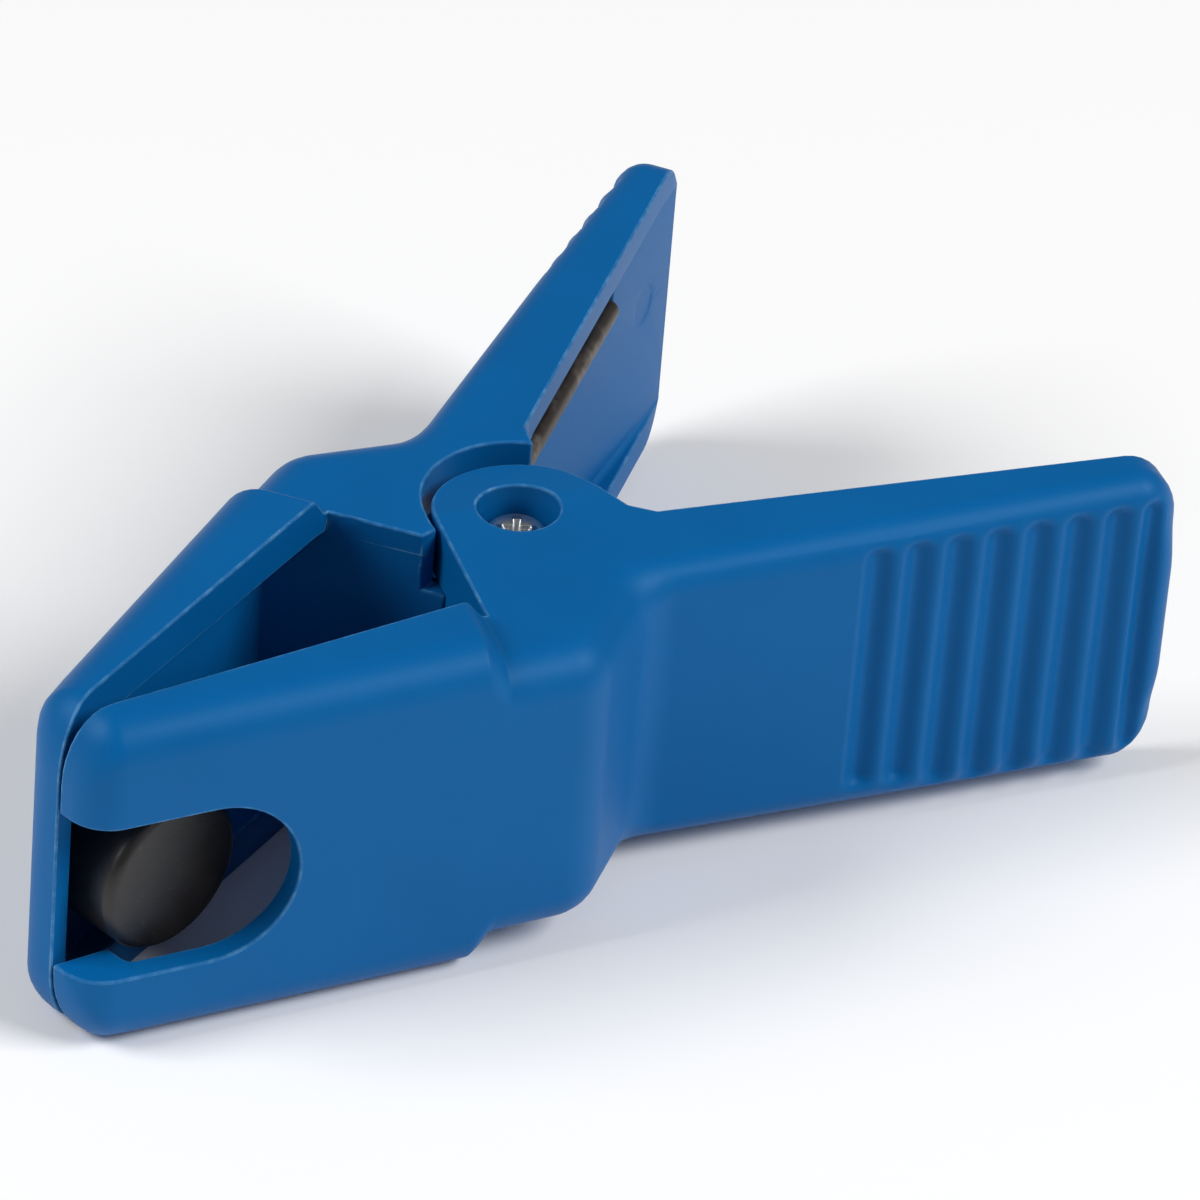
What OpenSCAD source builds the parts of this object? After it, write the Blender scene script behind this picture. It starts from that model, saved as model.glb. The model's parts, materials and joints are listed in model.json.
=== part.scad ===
/* [Jaws] */
// Height of the jaws, across both flat sides
jaw_height = 36.5; // [34:0.5:40]
// Reach of the jaws, from the pivot axis to the front of the nose
jaw_reach = 56.9; // [52:0.1:62]
// Depth of one jaw at the front of the nose
nose_depth = 4.67; // [4.2:0.01:5.2]
// Angle of the outer face of a jaw to the middle plane
jaw_face_angle = 20.23; // [19.5:0.01:21]
// Angle of the inner rim of a jaw to the middle plane
jaw_rim_angle = 13.87; // [13:0.01:14.5]
// Gap between the two noses when the clamp is shut
nose_gap = 0.2; // [0.1:0.1:0.4]
// Thickness of the top and bottom plates of a jaw
jaw_plate = 4.4; // [3.6:0.1:5]
// Thickness of the outer wall of a jaw
jaw_wall = 2.4; // [2:0.1:2.8]
// Thickness of the front wall of the front jaw
front_nose_wall = 5.5; // [4.5:0.1:6.5]
// Thickness of the front wall of the rear jaw
rear_nose_wall = 2.4; // [2:0.1:2.5]
// Radius of the corners of the nose, seen from the side
nose_corner_r = 6; // [4:0.5:7]
// Radius of the front edge of the nose, seen from above
nose_edge_r = 3.5; // [2.5:0.1:3.8]
// Radius along the long outer edges of a jaw
jaw_edge_r = 4.2; // [3:0.1:5]

/* [Jaw window] */
// Upper edge of the window above mid-height
window_top = 7.4; // [6:0.1:8]
// Lower edge of the window below mid-height
window_bottom = 9.8; // [8:0.1:10]
// Distance of the centre of the round end from the nose, along the jaw
window_reach = 12; // [10:0.5:13]

/* [Rubber pad] */
// Diameter of the round pad
pad_d = 15.8; // [14:0.1:16]
// Distance of the pad's axis behind the front of the nose
pad_setback = 10.7; // [10.5:0.1:12]
// Distance by which the pad stands past the middle plane, into the window
pad_proud = 3.8; // [2:0.1:4]
// Radius round the front edge of the pad
pad_edge_r = 1.4; // [0.8:0.1:2]

/* [Pivot block] */
// Height of the pivot block and of the handles
body_height = 32.4; // [32:0.1:33]
// Distance of the throat wall in front of the pivot axis, on the middle plane
throat_reach = 9; // [8.8:0.1:9.4]
// Lean of the throat wall, backward from straight across
throat_angle = 26.57; // [25:0.01:28]
// Thickness of the throat wall
throat_wall = 2.4; // [2:0.1:2.6]
// Place of the top of the ramp in front of the pivot axis
ramp_top = 9.87; // [9:0.01:11]
// Place of the foot of the ramp behind the pivot axis
ramp_foot = 2.1; // [1.5:0.1:3]
// Thickness of the outer wall of the pivot block
block_wall = 3; // [2.4:0.1:3.4]
// Radius along the outer edges of the pivot block
block_edge_r = 4.5; // [3:0.1:5]

/* [Knuckles] */
// Radius of a boss round the pivot
boss_r = 8.1; // [7.8:0.1:8.2]
// Inner face of a boss above mid-height
boss_inner = 9.7; // [9.6:0.1:10]
// Radius of the seat that a boss turns in
seat_r = 8.7; // [8.5:0.1:8.8]
// Depth of the boss behind the middle plane, where it joins its handle
boss_side = 6.4; // [5.5:0.1:6.6]
// Diameter of the counterbore in a boss
counterbore_d = 7.8; // [7.2:0.1:8.4]
// Height of the counterbore floor above mid-height
counterbore_floor = 11.2; // [11:0.1:12]

/* [Handles] */
// Reach of a handle from the pivot axis to the end of its inner rim
handle_reach = 53.95; // [50:0.05:58]
// Angle of the inner rim of a handle to the middle plane
handle_rim_angle = 28.35; // [28:0.01:29]
// Angle of the outer face of a handle to the middle plane
handle_face_angle = 23.26; // [22.8:0.01:23.6]
// Distance of the inner rim line from the middle plane at the pivot axis
handle_rim_y = 3.7; // [3.5:0.05:3.9]
// Distance of the outer face line from the middle plane at the pivot axis
handle_face_y = 15; // [14.8:0.05:15.4]
// Angle of the panel inside a handle to the middle plane
panel_angle = 22; // [21.5:0.1:22.4]
// Thickness of the top and bottom flanges of a handle
flange = 3; // [2.5:0.1:3.5]
// Radius along the outer edges of a handle
handle_edge_r = 3; // [2:0.1:4]
// Radius of the corners at the end of a handle, seen from the side
handle_corner_r = 5; // [3:0.5:7]

/* [Grip grooves] */
// Number of grip grooves on a handle
groove_count = 8; // [4:1:8]
// Distance from one groove to the next, along the handle
groove_pitch = 4.08; // [3.8:0.01:4.2]
// Place of the first groove behind the pivot axis
groove_start = 23.2; // [22:0.1:24]
// Depth of a groove
groove_depth = 0.7; // [0.3:0.1:1]
// Radius of a groove
groove_r = 2; // [1.6:0.1:2.4]
// Length of a groove, centred on mid-height
groove_length = 29; // [24:0.5:30]

/* [Spring] */
// Diameter of the spring wire
wire_d = 2.4; // [2:0.1:2.4]
// Radius of the coil, to the middle of the wire
coil_r = 4.9; // [4.9:0.05:5]
// Height of the upper leg above mid-height
leg_z = 8.1; // [7.9:0.05:8.1]
// Length of a leg, from the coil to its cut end
leg_length = 46; // [40:0.5:46]
// Number of full turns in the coil, beside the part turn between the legs
coil_turns = 5; // [4:1:5]

/* [Screw, sleeve and nut] */
// Diameter of the screw
screw_d = 3; // [2.8:0.1:3.2]
// Diameter of the screw head
head_d = 6; // [5.4:0.1:6.4]
// Height of the screw head
head_height = 1.9; // [1.6:0.1:2.1]
// Diameter of the sleeve inside the coil
sleeve_d = 6; // [5.4:0.1:6]
// Width of the nut across its flats
nut_width = 5.5; // [5:0.1:6]
// Height of the nut
nut_height = 2.4; // [2:0.1:2.6]

/* [Hidden] */

$fn = 72;
over = 1;                  // length by which a cutting solid runs past a face
running_clearance = 0.05;  // radial clearance of the screw in its holes
face_clearance = 0.15;     // clearance between flat faces that slide or meet
wire_clearance = 0.35;     // clearance between the wire and the levers
jaw_h = jaw_height / 2;
body_h = body_height / 2;
pivot = [(jaw_reach - handle_reach) / 2, 0, 0];  // pivot axis, from the middle of the shut clamp

// Lines of one lever in plan, for the lever behind the middle plane (y > 0)
function jaw_face(x) = nose_depth + tan(jaw_face_angle) * (x + jaw_reach);
function jaw_rim(x) = nose_gap / 2 + tan(jaw_rim_angle) * (x + jaw_reach);
function handle_face(x) = handle_face_y + tan(handle_face_angle) * x;
function handle_rim(x) = handle_rim_y + tan(handle_rim_angle) * x;
function throat(y, back = 0) = back / cos(throat_angle) - throat_reach - tan(throat_angle) * y;

// Meeting point of a line through p at angle a with a line through q at angle b
function meet(p, a, q, b) =
  let (t = ((q.x - p.x) * sin(b) - (q.y - p.y) * cos(b)) / sin(b - a))
  [p.x + t * cos(a), p.y + t * sin(a)];

// Point moved sideways, towards the inside of the lever, from a line at angle a
function inward(p, a, d) = [p.x + d * sin(a), p.y - d * cos(a)];

nose = [-jaw_reach, nose_depth];
throat_line = [-throat_reach, 0];
split_start = [throat(face_clearance), face_clearance];
throat_dir = 90 + throat_angle;
throat_corner = meet([-jaw_reach, jaw_rim(-jaw_reach)], jaw_rim_angle, throat_line, throat_dir);
jaw_end = meet(nose, jaw_face_angle, throat_line, throat_dir);
ramp_a = [-ramp_top, jaw_face(-ramp_top)];
ramp_b = [ramp_foot, handle_face(ramp_foot)];
ramp_angle = atan2(ramp_b.y - ramp_a.y, ramp_b.x - ramp_a.x);
rim_start = meet([boss_r, boss_side], 60, [0, handle_rim_y], handle_rim_angle);
rim_end = [handle_reach, handle_rim(handle_reach)];
face_end = meet(rim_end, handle_face_angle + 90, [0, handle_face_y], handle_face_angle);

// Tangent points of the rounded front edge of the nose
nose_turn = 90 - jaw_face_angle;
nose_run = nose_edge_r * tan(nose_turn / 2);
nose_tangent = [nose.x + nose_run * cos(jaw_face_angle), nose.y + nose_run * sin(jaw_face_angle)];
nose_centre = [nose.x + nose_edge_r, nose.y - nose_run];

// Hollows in plan
jaw_inner = inward(nose, jaw_face_angle, jaw_wall);
jaw_hollow_end = meet(jaw_inner, jaw_face_angle, throat_line, throat_dir);
window_z = (window_top - window_bottom) / 2;
throat_back = [throat(0, throat_wall), 0];
block_inner = inward(ramp_a, jaw_face_angle, block_wall);
ramp_inner = inward(ramp_a, ramp_angle, block_wall);

// Where a spring leg leaves the coil, where it ends, and the room that the wire needs
leg_root = coil_r * [-sin(handle_rim_angle), cos(handle_rim_angle)];
leg_end = leg_root + leg_length * [cos(handle_rim_angle), sin(handle_rim_angle)];
wire_room = wire_d / 2 + wire_clearance;
bed_start = 20;            // run of a leg before its bed in the panel starts
seat_shift = [0.9, 0.8];   // the seat widens towards the handle
seat_wide_r = 9.1;
seat_edge_y = 2.2;         // the seat starts this far behind the middle plane

// A bar with its outer face on y = 0 and its two outer edges rounded, along +X
module edge_bar(start, length, depth, h, r) {
  translate([start, 0, 0]) rotate([90, 0, 90]) linear_extrude(length) union() {
    translate([-depth, -h]) square([depth - r, 2 * h]);
    translate([-depth, r - h]) square([depth, 2 * (h - r)]);
    for (side = [-1, 1]) translate([-r, side * (h - r)]) circle(r);
  }
}

// The same bar laid along a line through p at angle a
module laid_bar(p, a, start, length, h, r) {
  translate([p.x, p.y, 0]) rotate([0, 0, a]) edge_bar(start, length, 2 * jaw_reach, h, r);
}

// A side view with two round corners at its end, at x = 0, made 2 * depth thick
module end_view(length, depth, h, r) {
  rotate([90, 0, 0]) linear_extrude(2 * depth, center = true) union() {
    translate([r, -h]) square([length - r, 2 * h]);
    translate([0, r - h]) square([length, 2 * (h - r)]);
    for (side = [-1, 1]) translate([r, side * (h - r)]) circle(r);
  }
}

module upright(h) {
  linear_extrude(2 * h, center = true) children();
}

module jaw_plan() {
  polygon([[-jaw_reach, jaw_rim(-jaw_reach)], [-jaw_reach, nose_centre.y], nose_centre,
           nose_tangent, jaw_end, throat_corner]);
  intersection() {
    translate(nose_centre) circle(nose_edge_r);
    translate([-jaw_reach, jaw_rim(-jaw_reach)]) square([nose_edge_r, nose_depth]);
  }
}

// The plan runs out past the top of the ramp, where the rounded bars cut it
module body_plan() {
  out_x = jaw_end.x - over;
  polygon([split_start, [boss_r, split_start.y], [boss_r, boss_side], rim_start, rim_end, face_end,
           ramp_b, ramp_a + [0, over], [out_x, jaw_face(out_x) + over],
           [out_x, jaw_end.y - 2 * over], throat_corner]);
}

// Jaw without its hollow, with round nose and round long edges
module jaw_blank() {
  intersection() {
    upright(jaw_h) jaw_plan();
    laid_bar(nose, jaw_face_angle, -jaw_reach, 2 * jaw_reach, jaw_h, jaw_edge_r);
    translate([-jaw_reach, 0, 0]) end_view(jaw_reach, jaw_reach, jaw_h, nose_corner_r);
  }
}

// Pivot block and handle without their hollows
module body_blank() {
  intersection() {
    upright(body_h) body_plan();
    laid_bar(ramp_a, jaw_face_angle, -jaw_reach, 2 * jaw_reach, body_h, block_edge_r);
    laid_bar(ramp_a, ramp_angle, -jaw_reach, 2 * jaw_reach, body_h, block_edge_r);
  }
  intersection() {
    upright(body_h) body_plan();
    laid_bar(ramp_b, handle_face_angle, -ramp_top, 2 * jaw_reach, body_h, handle_edge_r);
    translate([face_end.x, face_end.y, 0]) rotate([0, 0, handle_face_angle + 180])
      end_view(2 * jaw_reach, jaw_reach, body_h, handle_corner_r);
  }
}

// The room inside a jaw, from its front wall to the throat wall
module inside_jaw(front_wall, h) {
  start = front_wall - jaw_reach;
  upright(h)
    polygon([[start, -boss_r], meet(jaw_inner, jaw_face_angle, [start, 0], 90),
             jaw_hollow_end, [throat(-boss_r), -boss_r]]);
}

// Hollow of the block and the handle in plan, up to the panel in the handle
module body_hollow_plan() {
  polygon([[throat(-over, throat_wall), -over],
           meet(throat_back, throat_dir, block_inner, jaw_face_angle),
           meet(block_inner, jaw_face_angle, ramp_inner, ramp_angle),
           meet(ramp_inner, ramp_angle, rim_end, panel_angle),
           rim_end + over * [cos(panel_angle), sin(panel_angle)],
           [handle_reach + over, -over]]);
}

module body_hollow() {
  upright(boss_inner) body_hollow_plan();
  upright(body_h - flange) intersection() {
    body_hollow_plan();
    translate([rim_start.x + over * 2, 0]) square(2 * handle_reach);
  }
  upright(boss_inner) circle(coil_r + wire_room);
}

// The hollow in the top plate that the other lever's boss turns in
module seat_hollow() {
  translate([0, 0, boss_inner - over]) linear_extrude(body_h - boss_inner + 2 * over) {
    circle(seat_r);
    translate([-throat_reach - 2 * over, 0]) square([throat_reach, seat_edge_y]);
    intersection() {
      translate(seat_shift) circle(seat_wide_r);
      translate([-seat_r, 0]) square(2 * seat_r);
    }
  }
}

module boss() {
  translate([0, 0, -body_h]) cylinder(h = body_h - boss_inner, r = boss_r);
}

module pivot_bore() {
  translate([0, 0, -body_h - over]) cylinder(h = body_h - counterbore_floor + over, d = counterbore_d);
  translate([0, 0, -body_h - over]) cylinder(h = body_h, r = screw_d / 2 + running_clearance);
}

// Bed for the end of a spring leg, sunk in the panel of the handle
module leg_bed() {
  translate([leg_root.x, leg_root.y, leg_z]) rotate([0, 0, handle_rim_angle])
    translate([bed_start, -wire_d, -wire_room])
      cube([leg_length + over - bed_start, wire_d + wire_room, 2 * wire_room]);
}

module grip_grooves() {
  translate([groove_start, handle_face(groove_start), 0]) rotate([0, 0, handle_face_angle])
    for (i = [0 : groove_count - 1])
      translate([i * groove_pitch, groove_r - groove_depth, 0])
        cylinder(h = groove_length, r = groove_r, center = true);
}

// One whole lever, in the place of the rear one: seat on top, boss below
module lever(front_wall) {
  difference() {
    union() {
      jaw_blank();
      difference() {
        body_blank();
        seat_hollow();
      }
      boss();
    }
    inside_jaw(front_wall, jaw_h - jaw_plate);
    body_hollow();
    pivot_bore();
    leg_bed();
    grip_grooves();
  }
}

// Window through the outer wall and the front of the nose of the front jaw
module jaw_window() {
  r = (window_top + window_bottom) / 2;
  translate([-jaw_reach, -nose_depth, window_z]) rotate([0, 0, -jaw_face_angle])
    rotate([90, 0, 0]) linear_extrude(jaw_reach, center = true) {
      translate([-jaw_reach, -r]) square([jaw_reach + window_reach, 2 * r]);
      translate([window_reach, 0]) circle(r);
    }
}

module front_lever() {
  color("royalblue") difference() {
    rotate([180, 0, 0]) lever(front_nose_wall);
    jaw_window();
  }
}

module rear_lever() {
  color("dodgerblue") lever(rear_nose_wall);
}

// A round button across the jaws, in line with the window, from its face to the outer wall
module jaw_pad() {
  r = pad_d / 2;
  color("dimgray") intersection() {
    translate([pad_setback - jaw_reach, -pad_proud, window_z]) rotate([-90, 0, 0]) rotate_extrude() union() {
      square([r - pad_edge_r, 2 * pad_d]);
      translate([0, pad_edge_r]) square([r, 2 * pad_d]);
      translate([r - pad_edge_r, pad_edge_r]) intersection() {
        circle(pad_edge_r);
        translate([0, -pad_edge_r]) square(pad_edge_r);
      }
    }
    inside_jaw(rear_nose_wall, jaw_h);
  }
}

// Spring: one tube along a path of legs and coil, each ring upright and square to the path
ring_sides = 6;
rings_per_turn = 8;
coil_span = 360 * coil_turns + 2 * (90 - handle_rim_angle);
coil_steps = ceil(coil_span / 360 * rings_per_turn);
function coil_angle(i) = -90 - handle_rim_angle - coil_span * i / coil_steps;
function spring_centre(i) =
  i < 0 ? [leg_end.x, -leg_end.y, -leg_z]
  : i > coil_steps ? [leg_end.x, leg_end.y, leg_z]
  : let (a = coil_angle(i))
    [coil_r * cos(a), coil_r * sin(a), leg_z * (2 * i / coil_steps - 1)];
function ring_angle(i) = coil_angle(min(max(i, 0), coil_steps));
spring_rings = [for (i = [-1 : coil_steps + 1]) i];
spring_points = [for (i = spring_rings, k = [0 : ring_sides - 1])
  let (a = ring_angle(i), b = 360 * k / ring_sides, r = wire_d / 2)
  spring_centre(i) + r * [cos(b) * cos(a), cos(b) * sin(a), sin(b)]];
function ring_vertex(j, k) = j * ring_sides + (k % ring_sides);
last_ring = len(spring_rings) - 1;
spring_faces = concat(
  [for (j = [0 : last_ring - 1], k = [0 : ring_sides - 1])
    [ring_vertex(j, k), ring_vertex(j + 1, k), ring_vertex(j + 1, k + 1)]],
  [for (j = [0 : last_ring - 1], k = [0 : ring_sides - 1])
    [ring_vertex(j, k), ring_vertex(j + 1, k + 1), ring_vertex(j, k + 1)]],
  [for (k = [1 : ring_sides - 2]) [0, k, k + 1]],
  [for (k = [1 : ring_sides - 2])
    [ring_vertex(last_ring, 0), ring_vertex(last_ring, k + 1), ring_vertex(last_ring, k)]]);

module torsion_spring() {
  color("darkslategray") polyhedron(points = spring_points, faces = spring_faces);
}

// Least gap of the wire to itself, measured between its rings about one turn apart
spring_gap = min([for (i = [0 : coil_steps - rings_per_turn + 1],
                       j = [i + rings_per_turn - 2 : min(coil_steps, i + rings_per_turn + 2)])
  norm(spring_centre(i) - spring_centre(j))]) - wire_d;
echo(spring_gap = spring_gap, spring_triangles = len(spring_faces));

module spring_sleeve() {
  length = 2 * (boss_inner - face_clearance);
  color("silver") difference() {
    cylinder(h = length, d = sleeve_d, center = true);
    cylinder(h = length + 2 * over, r = screw_d / 2 + running_clearance, center = true);
  }
}

// Pan head screw with a cross recess, from its head in the front lever's boss to the nut
module pivot_screw() {
  tip = 0.5;
  bottom = -counterbore_floor - face_clearance - nut_height - tip;
  recess = 3.2;
  slot = 0.8;
  recess_depth = 1.2;
  color("gainsboro") difference() {
    union() {
      translate([0, 0, bottom]) cylinder(h = counterbore_floor - bottom + over, d = screw_d);
      translate([0, 0, counterbore_floor]) intersection() {
        cylinder(h = head_height, d = head_d);
        translate([0, 0, head_height - head_d]) sphere(head_d);
      }
    }
    translate([0, 0, counterbore_floor + head_height - recess_depth])
      for (turn = [45, 135]) rotate([0, 0, turn])
        translate([-recess / 2, -slot / 2, 0]) cube([recess, slot, recess_depth + over]);
  }
}

module pivot_nut() {
  color("lightgray") translate([0, 0, -counterbore_floor - face_clearance - nut_height])
    difference() {
      intersection_for (turn = [0, 60, 120]) rotate([0, 0, turn])
        translate([-nut_width, -nut_width / 2, 0]) cube([2 * nut_width, nut_width, nut_height]);
      translate([0, 0, -over]) cylinder(h = nut_height + 2 * over, r = screw_d / 2 + running_clearance);
    }
}

translate(pivot) front_lever();
translate(pivot) rear_lever();
translate(pivot) jaw_pad();
translate(pivot) torsion_spring();
translate(pivot) spring_sleeve();
translate(pivot) pivot_screw();
translate(pivot) pivot_nut();
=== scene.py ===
import json
import math
import bpy
import bmesh
from mathutils import Matrix, Vector


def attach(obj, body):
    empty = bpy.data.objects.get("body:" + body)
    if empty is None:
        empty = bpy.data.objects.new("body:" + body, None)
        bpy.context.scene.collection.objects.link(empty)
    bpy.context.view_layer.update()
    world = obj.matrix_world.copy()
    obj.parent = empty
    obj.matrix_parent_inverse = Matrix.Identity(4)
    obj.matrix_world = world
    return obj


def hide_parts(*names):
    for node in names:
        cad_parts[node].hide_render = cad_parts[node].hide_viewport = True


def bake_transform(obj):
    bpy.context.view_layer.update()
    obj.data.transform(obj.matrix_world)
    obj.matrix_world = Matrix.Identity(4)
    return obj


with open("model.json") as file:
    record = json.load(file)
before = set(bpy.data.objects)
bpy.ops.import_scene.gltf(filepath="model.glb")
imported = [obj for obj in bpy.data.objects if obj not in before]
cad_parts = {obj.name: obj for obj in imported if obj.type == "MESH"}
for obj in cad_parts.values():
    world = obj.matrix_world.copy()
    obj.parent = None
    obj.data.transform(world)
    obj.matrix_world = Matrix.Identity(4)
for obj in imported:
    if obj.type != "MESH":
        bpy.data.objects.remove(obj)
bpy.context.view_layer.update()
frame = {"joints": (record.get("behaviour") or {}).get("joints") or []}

# Lengths below are in millimetres round the pivot axis, with z = 0 at mid-height.
MM = 0.001
PIVOT = Vector(frame["joints"][0]["pos_m"])
TO_FRAME = Matrix.Translation(PIVOT) @ Matrix.Scale(MM, 4)
HALF_TURN = Matrix.Rotation(math.pi, 4, "X")

# Facts of the clamp that more than one piece needs
JAW_REACH = 56.9
JAW_HALF = 18.25
NOSE_DEPTH = 4.67
WINDOW_NOSE_WALL = 5.5
BUTTON_NOSE_WALL = 2.4
NOSE_GAP = 0.1
PLANE_GAP = 0.15
JAW_SLOPE = math.radians(20.23)
JAW_RIM_SLOPE = math.radians(13.87)
JAW_ROUND = 4.2
NOSE_ROUND = 4.6
NOSE_RISE = 7.5
JAW_WALL = 2.4
JAW_ROOM = 13.85
STEP_RUN = 2.6
RAMP_TOP = (-9.87, 22.0)
RAMP_FOOT = (2.1, 15.9)
RAMP_SLOPE = math.atan2(RAMP_FOOT[1] - RAMP_TOP[1], RAMP_FOOT[0] - RAMP_TOP[0])
CREST_R = 6.0
FOOT_R = 6.0
BLOCK_ROUND = 4.5
BLOCK_WALL = 3.0
THROAT_WALL = 2.4
BODY_HALF = 15.95
BODY_TAPER = 0.011
BODY_ROOM = 13.2
HANDLE_ROOM_START = 11.5
ROOM_EDGE_R = 0.7
HANDLE_SLOPE = math.radians(23.26)
HANDLE_FACE_Y = 15.0
HANDLE_ROUND = 3.0
RIM_SLOPE = math.radians(28.35)
PANEL_SLOPE = math.radians(22.0)
END_INSET = 4.5
END_RISE = 5.5
END_EDGE_R = 2.1
END_STEPS = 20
SQUARE_OVER = 6.0
BOSS_R = 8.1
BOSS_INNER = 9.7
BOSS_SIDE = (8.1, 6.4)
SEAT_R = 8.7
SEAT_WIDE_R = 9.1
SEAT_SHIFT = (0.9, 0.8)
SEAT_OVERLAP = 0.05
COUNTERBORE_R = 3.9
BORE_R = 1.55
THROUGH = 20
PARTING_START = (-7.9, -3.0)
PARTING_END = (8.3, 2.7)
DRAFT = math.radians(7.7)
MARK_R = 2.5
MARK_DEPTH = 0.13
MARK_PLACE = (47.7, 2.3)
WINDOW_R = 8.6
WINDOW_REACH = 12.0
GROOVES = 8
LAST_GROOVE = 0.35
GROOVE_PITCH = 4.08
GROOVE_START = 23.2
GROOVE_DEPTH = 1.05
GROOVE_TOPS = (13.4, 13.8, 14.7, 15.1, 15.3, 15.4, 15.6, 15.0)
GROOVE_BOTTOM = 14.2
SHARP_DEGREES = 38
EDGE_R = 0.22
ROUND_STEPS = 9
HALF_SECTION = 21
BENCH = -18.25

WIRE_R = 1.2
COIL_R = 4.9
LEG_Z = 8.1
LEG_LENGTH = 46.0
BED_HALF = 1.55
COIL_TURNS = 5 + 2 * (90 - 28.35) / 360

HEAD_SEAT = 11.2
HEAD_TOP = 13.5
NUT_ACROSS_FLATS = 5.5
NUT_HEIGHT = 2.4
SCREW_TIP = -14.25

PAD_X = -46.2
PAD_Z = -1.2
PAD_R = 7.9
PAD_SHIFT = 0.6
PAD_DROP = 1.8
PAD_EDGE = 1.1
PAD_DOME = 0.12
PAD_FACE = -3.8
PAD_BACK = 24


# ---------------------------------------------------------------- finishes

class Value:
    """A number that changes over a surface. Arithmetic on it adds Math nodes."""

    def __init__(self, finish, socket):
        self.finish, self.socket = finish, socket

    def maths(self, operation, *values):
        sockets = dict(enumerate(values))
        return self.finish.node("ShaderNodeMath", {"operation": operation}, sockets)

    def __add__(self, other):
        return self.maths("ADD", self, other)

    def __radd__(self, other):
        return self.maths("ADD", other, self)

    def __rsub__(self, other):
        return self.maths("SUBTRACT", other, self)

    def __mul__(self, other):
        return self.maths("MULTIPLY", self, other)

    def __rmul__(self, other):
        return self.maths("MULTIPLY", other, self)


class Finish:
    """A material under construction, with one Principled shader."""

    def __init__(self, name):
        self.material = bpy.data.materials.new(name)
        self.material.use_nodes = True
        self.tree = self.material.node_tree
        self.shader = self.tree.nodes["Principled BSDF"]
        self.place = self.node("ShaderNodeTexCoord", output="Object")

    def node(self, kind, settings=None, sockets=None, output=0):
        """Adds one node: its settings first, then the values or links of its sockets."""
        made = self.tree.nodes.new(kind)
        for key, value in (settings or {}).items():
            setattr(made, key, value)
        self.feed(made, sockets or {})
        return Value(self, made.outputs[output])

    def feed(self, target, sockets):
        for key, value in sockets.items():
            if isinstance(value, Value):
                self.tree.links.new(value.socket, target.inputs[key])
            else:
                target.inputs[key].default_value = value

    def set(self, **sockets):
        self.feed(self.shader, {key.replace("_", " "): value for key, value in sockets.items()})
        return self.material

    def grain(self, size, detail=2.0, rough=0.5, stretch=(1, 1, 1)):
        """Noise from 0 to 1 with features of about size millimetres."""
        place = self.node("ShaderNodeMapping", sockets={"Vector": self.place, "Scale": stretch})
        return self.node("ShaderNodeTexNoise", sockets={
            "Vector": place, "Scale": 1 / (size * MM), "Detail": detail, "Roughness": rough})

    def fade(self, value, low, high):
        """0 below low, 1 above high, and smooth between."""
        return self.node("ShaderNodeMapRange", {"interpolation_type": "SMOOTHSTEP"}, {
            "Value": value, "From Min": low, "From Max": high})

    def blend(self, factor, first, second):
        """From the first colour to the second."""
        pair = {0: factor, 6: first, 7: second}
        return self.node("ShaderNodeMix", {"data_type": "RGBA"}, pair, output=2)

    def bump(self, height, depth, strength=1.0):
        """Relief from a height of 0 to 1, depth millimetres deep."""
        return self.node("ShaderNodeBump", sockets={
            "Height": height, "Distance": depth * MM, "Strength": strength})

    def edges(self, radius):
        """1 on edges that turn within radius millimetres, 0 on open faces."""
        rounded = self.node("ShaderNodeBevel", {"samples": 6}, {"Radius": radius * MM})
        plain = self.node("ShaderNodeNewGeometry", output="Normal")
        agree = self.node("ShaderNodeVectorMath", {"operation": "DOT_PRODUCT"},
                          {0: rounded, 1: plain}, output="Value")
        return self.fade(1 - agree, 0.004, 0.06)


def rgb(red, green, blue):
    """A colour from its 0-255 screen values."""
    def linear(c):
        c /= 255
        return c / 12.92 if c <= 0.04045 else ((c + 0.055) / 1.055) ** 2.4
    return (linear(red), linear(green), linear(blue), 1.0)


def moulded_blue():
    """Satin-gloss moulded plastic: cloudy pigment, fine skin, and pale ragged lines along the edges, a
    painted highlight for the light the rims catch, with some mould flash.
    """
    f = Finish("moulded_blue")
    cloud = f.grain(14, 3)
    skin = f.grain(0.35, 3, 0.6)
    ripple = f.grain(5, 2)
    ragged_highlight = f.fade(f.grain(1.3, 3), 0.42, 0.66)
    # Painted highlight: the edge mask, broken up by noise, blends pale blue-white into the colour along
    # the rims.
    edge = f.edges(0.34) * (0.35 + 0.65 * ragged_highlight)
    colour = f.blend(cloud, rgb(0, 88, 150), rgb(3, 98, 163))
    colour = f.blend(edge, colour, rgb(140, 200, 238))
    return f.set(Base_Color=colour, Roughness=0.38 + 0.09 * cloud + 0.06 * skin,
                 Normal=f.bump(0.35 * skin + ripple, 0.02, 0.7), IOR=1.49,
                 Specular_IOR_Level=0.25, Specular_Tint=(0.4, 0.72, 1.0, 1.0))


def black_rubber():
    """Glossy moulded rubber with a faint bloom and dust in the skin."""
    f = Finish("black_rubber")
    bloom = f.grain(3, 4)
    skin = f.grain(0.25, 3, 0.6)
    dust = f.fade(f.grain(0.5, 2), 0.66, 0.78)
    colour = f.blend(bloom, rgb(20, 19, 19), rgb(36, 34, 33))
    colour = f.blend(dust * 0.35, colour, rgb(96, 92, 88))
    return f.set(Base_Color=colour, Roughness=0.3 + 0.16 * bloom + 0.05 * skin,
                 Normal=f.bump(skin + bloom, 0.03, 0.6), IOR=1.5)


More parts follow.
